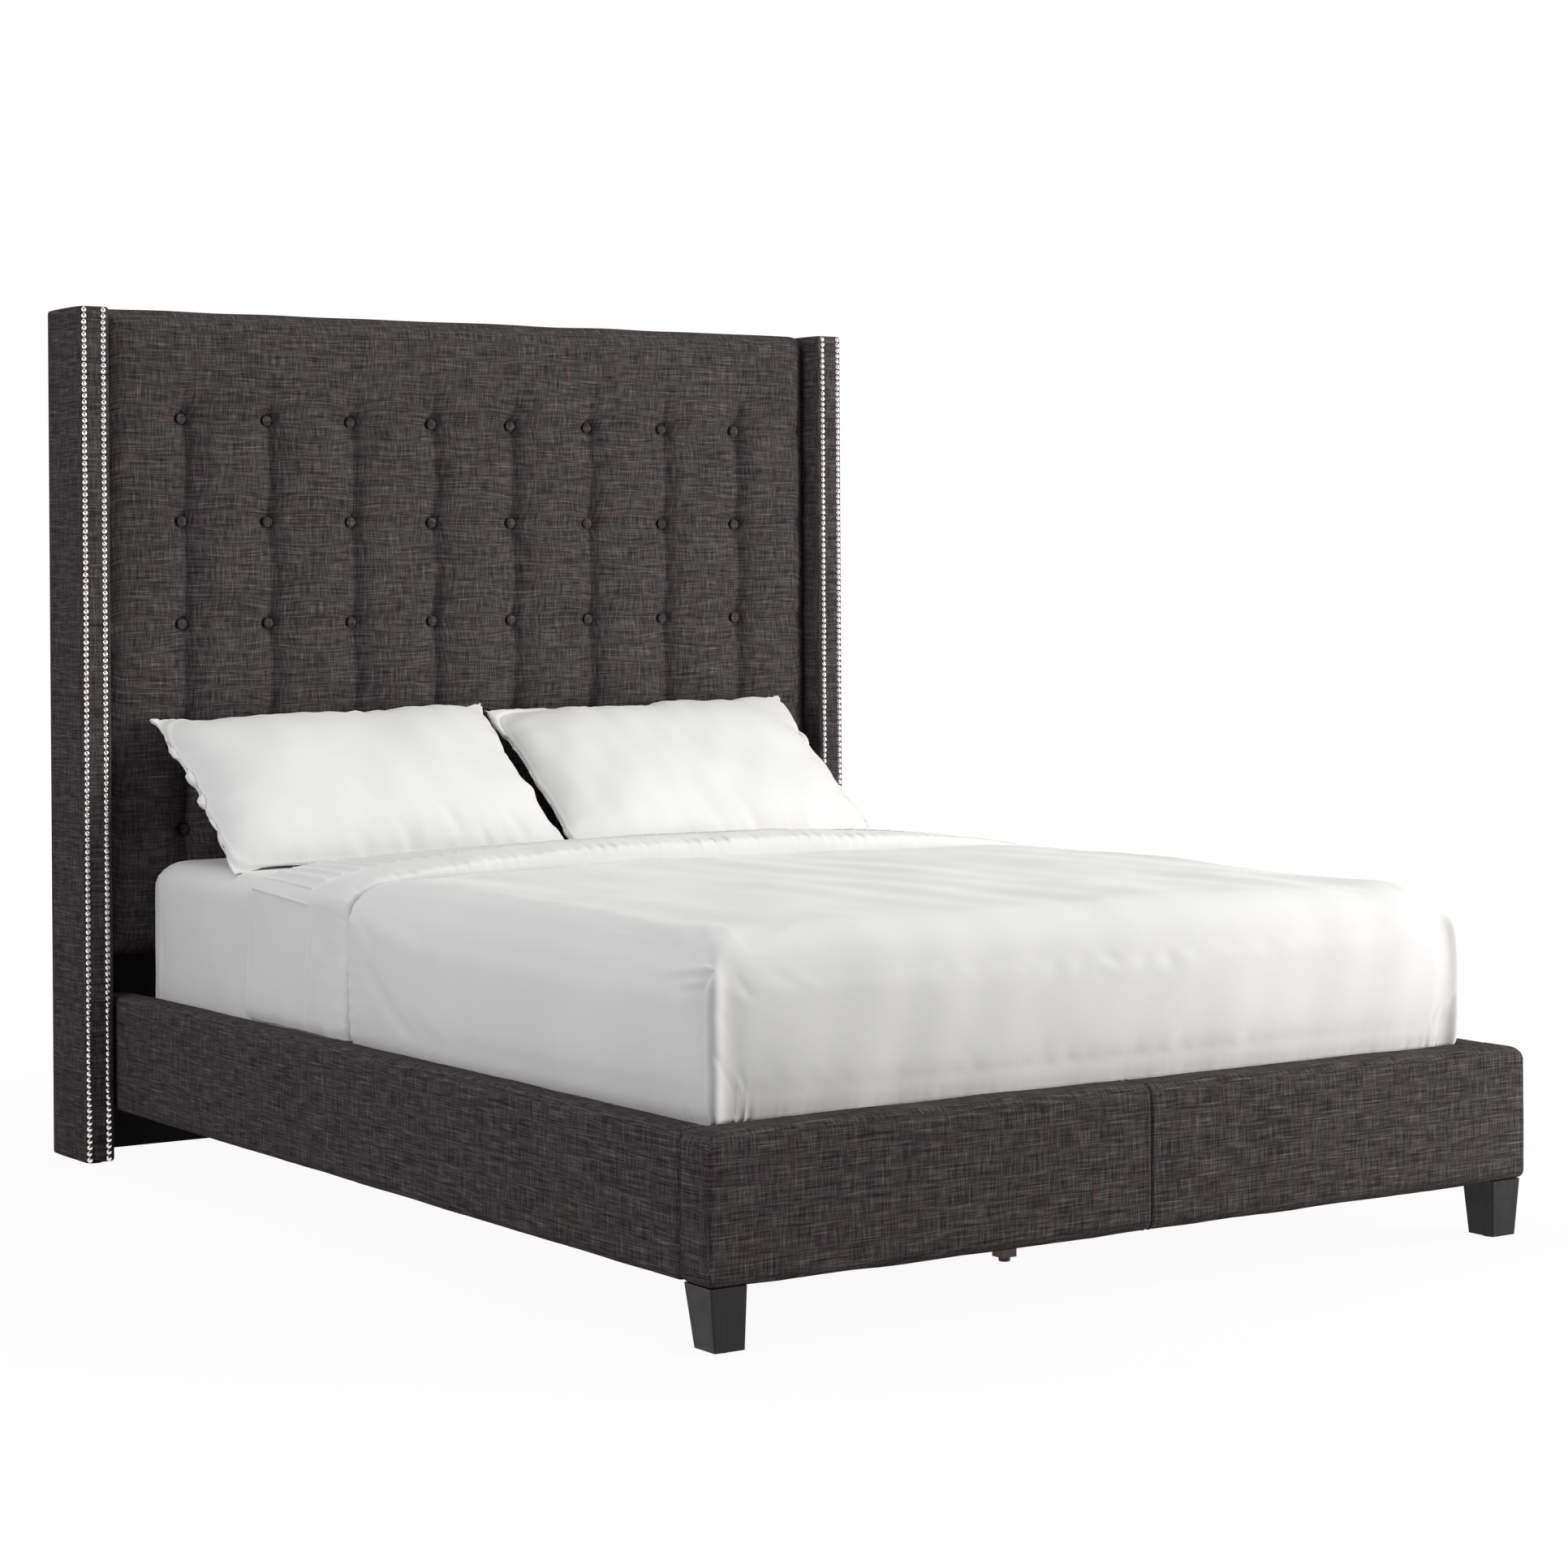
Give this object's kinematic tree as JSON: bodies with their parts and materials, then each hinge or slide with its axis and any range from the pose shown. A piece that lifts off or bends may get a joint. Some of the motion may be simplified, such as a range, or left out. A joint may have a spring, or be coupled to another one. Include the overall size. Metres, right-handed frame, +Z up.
{
  "type": "wingback bed",
  "caption": "Upholstered wingback bed with a button-tufted headboard, studded wings, low padded rails, slatted base and a made-up mattress with two pillows.",
  "frame": {"origin": "on the floor, under the middle of the bed's outline", "axes": "+X to the right seen from the foot, +Y from the footboard towards the headboard, +Z up"},
  "size_m": [1.808, 2.32, 1.686],
  "materials": {
    "charcoal_linen": "woven slub linen, matte",
    "black_cloth": "non-woven dust cloth, matte",
    "pine": "planed, unfinished",
    "plywood": "sanded, unfinished",
    "black_wood": "satin lacquer",
    "brown_wood": "satin stain",
    "nail_silver": "polished",
    "zinc_steel": "zinc plated",
    "black_nylon": "matte",
    "webbing": "woven tape",
    "ticking": "knitted ticking",
    "white_cotton": "plain woven cotton, matte"
  },
  "bodies": {
    "bed_frame": {"headboard_posts": "pine", "headboard_cross_rails": "pine", "headboard_panel": "plywood", "headboard_lower_panel": "black_cloth", "headboard_back_cover": "black_cloth", "headboard_pad": "charcoal_linen", "headboard_buttons": "charcoal_linen", "wing_core_left": "pine", "wing_core_right": "pine", "wing_cover_left": "charcoal_linen", "wing_cover_right": "charcoal_linen", "wing_nails_left": "nail_silver", "wing_nails_right": "nail_silver", "wing_glides": "black_nylon", "wing_bolts": "zinc_steel", "rail_core_left": "pine", "rail_core_right": "pine", "rail_cover_left": "charcoal_linen", "rail_cover_right": "charcoal_linen", "footboard_core": "pine", "footboard_cover": "charcoal_linen", "corner_brackets": "zinc_steel", "bracket_bolts": "zinc_steel", "leg_left": "black_wood", "leg_right": "black_wood", "leg_glides": "black_nylon", "leg_bolts": "zinc_steel", "slat_ledgers": "pine", "ledger_screws": "zinc_steel", "slats": "pine", "slat_straps": "webbing", "centre_beam": "pine", "beam_hangers": "zinc_steel", "hanger_screws": "zinc_steel", "centre_legs": "brown_wood", "centre_leg_bolts": "zinc_steel", "centre_leg_nuts": "zinc_steel"},
    "mattress_set": {"mattress": "ticking", "fitted_sheet": "white_cotton", "flat_sheet": "white_cotton"},
    "duvet": {"duvet": "white_cotton"},
    "pillow_left": {"pillow_left": "white_cotton"},
    "pillow_right": {"pillow_right": "white_cotton"},
    "glide_foot": {"centre_glide_foot": "black_nylon"},
    "glide_middle": {"centre_glide_middle": "black_nylon"},
    "glide_head": {"centre_glide_head": "black_nylon"}
  },
  "joints": [
    {"name": "mattress_lift", "type": "slide", "parent": "bed_frame", "child": "mattress_set", "axis": [0, 0, 1], "range_m": [0, 0.35]},
    {"name": "duvet_lift", "type": "slide", "parent": "mattress_set", "child": "duvet", "axis": [0, 0, 1], "range_m": [0, 0.35]},
    {"name": "pillow_left_lift", "type": "slide", "parent": "mattress_set", "child": "pillow_left", "axis": [0, -0.5519, 0.8339], "range_m": [0, 0.25]},
    {"name": "pillow_right_lift", "type": "slide", "parent": "mattress_set", "child": "pillow_right", "axis": [0, -0.5519, 0.8339], "range_m": [0, 0.25]},
    {"name": "glide_foot_level", "type": "slide", "parent": "bed_frame", "child": "glide_foot", "axis": [0, 0, 1], "range_m": [-0.012, 0]},
    {"name": "glide_middle_level", "type": "slide", "parent": "bed_frame", "child": "glide_middle", "axis": [0, 0, 1], "range_m": [-0.012, 0]},
    {"name": "glide_head_level", "type": "slide", "parent": "bed_frame", "child": "glide_head", "axis": [0, 0, 1], "range_m": [-0.012, 0]}
  ]
}
